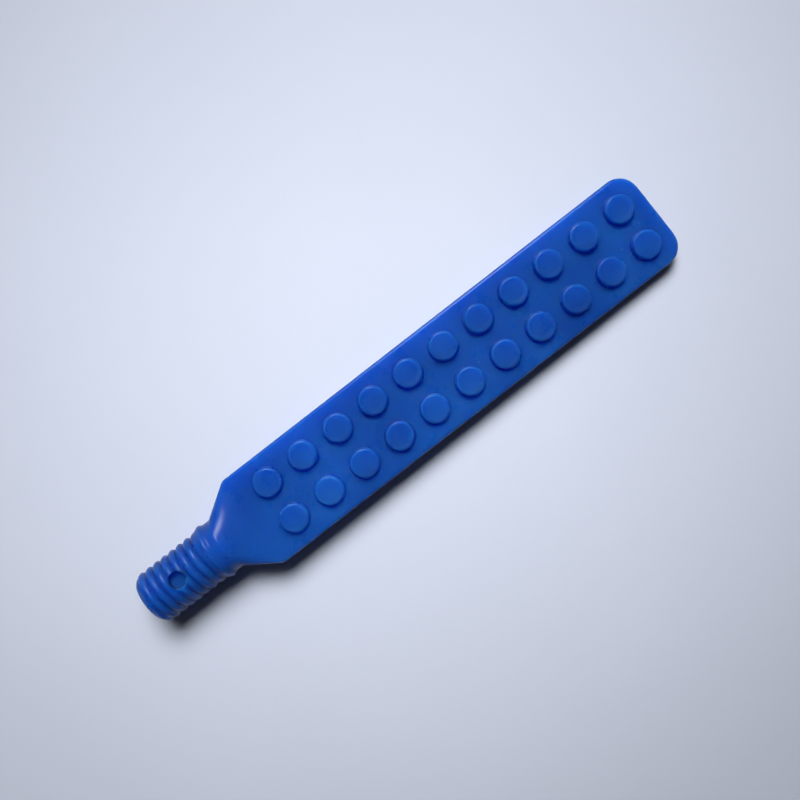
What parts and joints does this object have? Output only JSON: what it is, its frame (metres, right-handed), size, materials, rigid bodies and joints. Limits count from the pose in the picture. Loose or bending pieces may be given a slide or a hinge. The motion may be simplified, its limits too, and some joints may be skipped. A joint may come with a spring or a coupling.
{
  "type": "oral motor chew tip",
  "caption": "Soft blade-shaped chew tip with two rows of round studs, on a threaded stub that screws into a handle.",
  "frame": {"origin": "on the stub's axis, where the thread ends and the collar starts", "axes": "+X along the stub's axis towards the blade's free end, +Z out of the studded face, +Y across the blade"},
  "size_m": [0.1017, 0.0164, 0.0096],
  "materials": {
    "blue_elastomer": "satin, slightly translucent moulded elastomer"
  },
  "bodies": {
    "root": {"threaded_stub": "blue_elastomer", "collar": "blue_elastomer", "tapered_neck": "blue_elastomer", "blade": "blue_elastomer", "stud_left_01": "blue_elastomer", "stud_left_02": "blue_elastomer", "stud_left_03": "blue_elastomer", "stud_left_04": "blue_elastomer", "stud_left_05": "blue_elastomer", "stud_left_06": "blue_elastomer", "stud_left_07": "blue_elastomer", "stud_left_08": "blue_elastomer", "stud_left_09": "blue_elastomer", "stud_left_10": "blue_elastomer", "stud_left_11": "blue_elastomer", "stud_right_01": "blue_elastomer", "stud_right_02": "blue_elastomer", "stud_right_03": "blue_elastomer", "stud_right_04": "blue_elastomer", "stud_right_05": "blue_elastomer", "stud_right_06": "blue_elastomer", "stud_right_07": "blue_elastomer", "stud_right_08": "blue_elastomer", "stud_right_09": "blue_elastomer", "stud_right_10": "blue_elastomer", "stud_right_11": "blue_elastomer"}
  },
  "joints": []
}
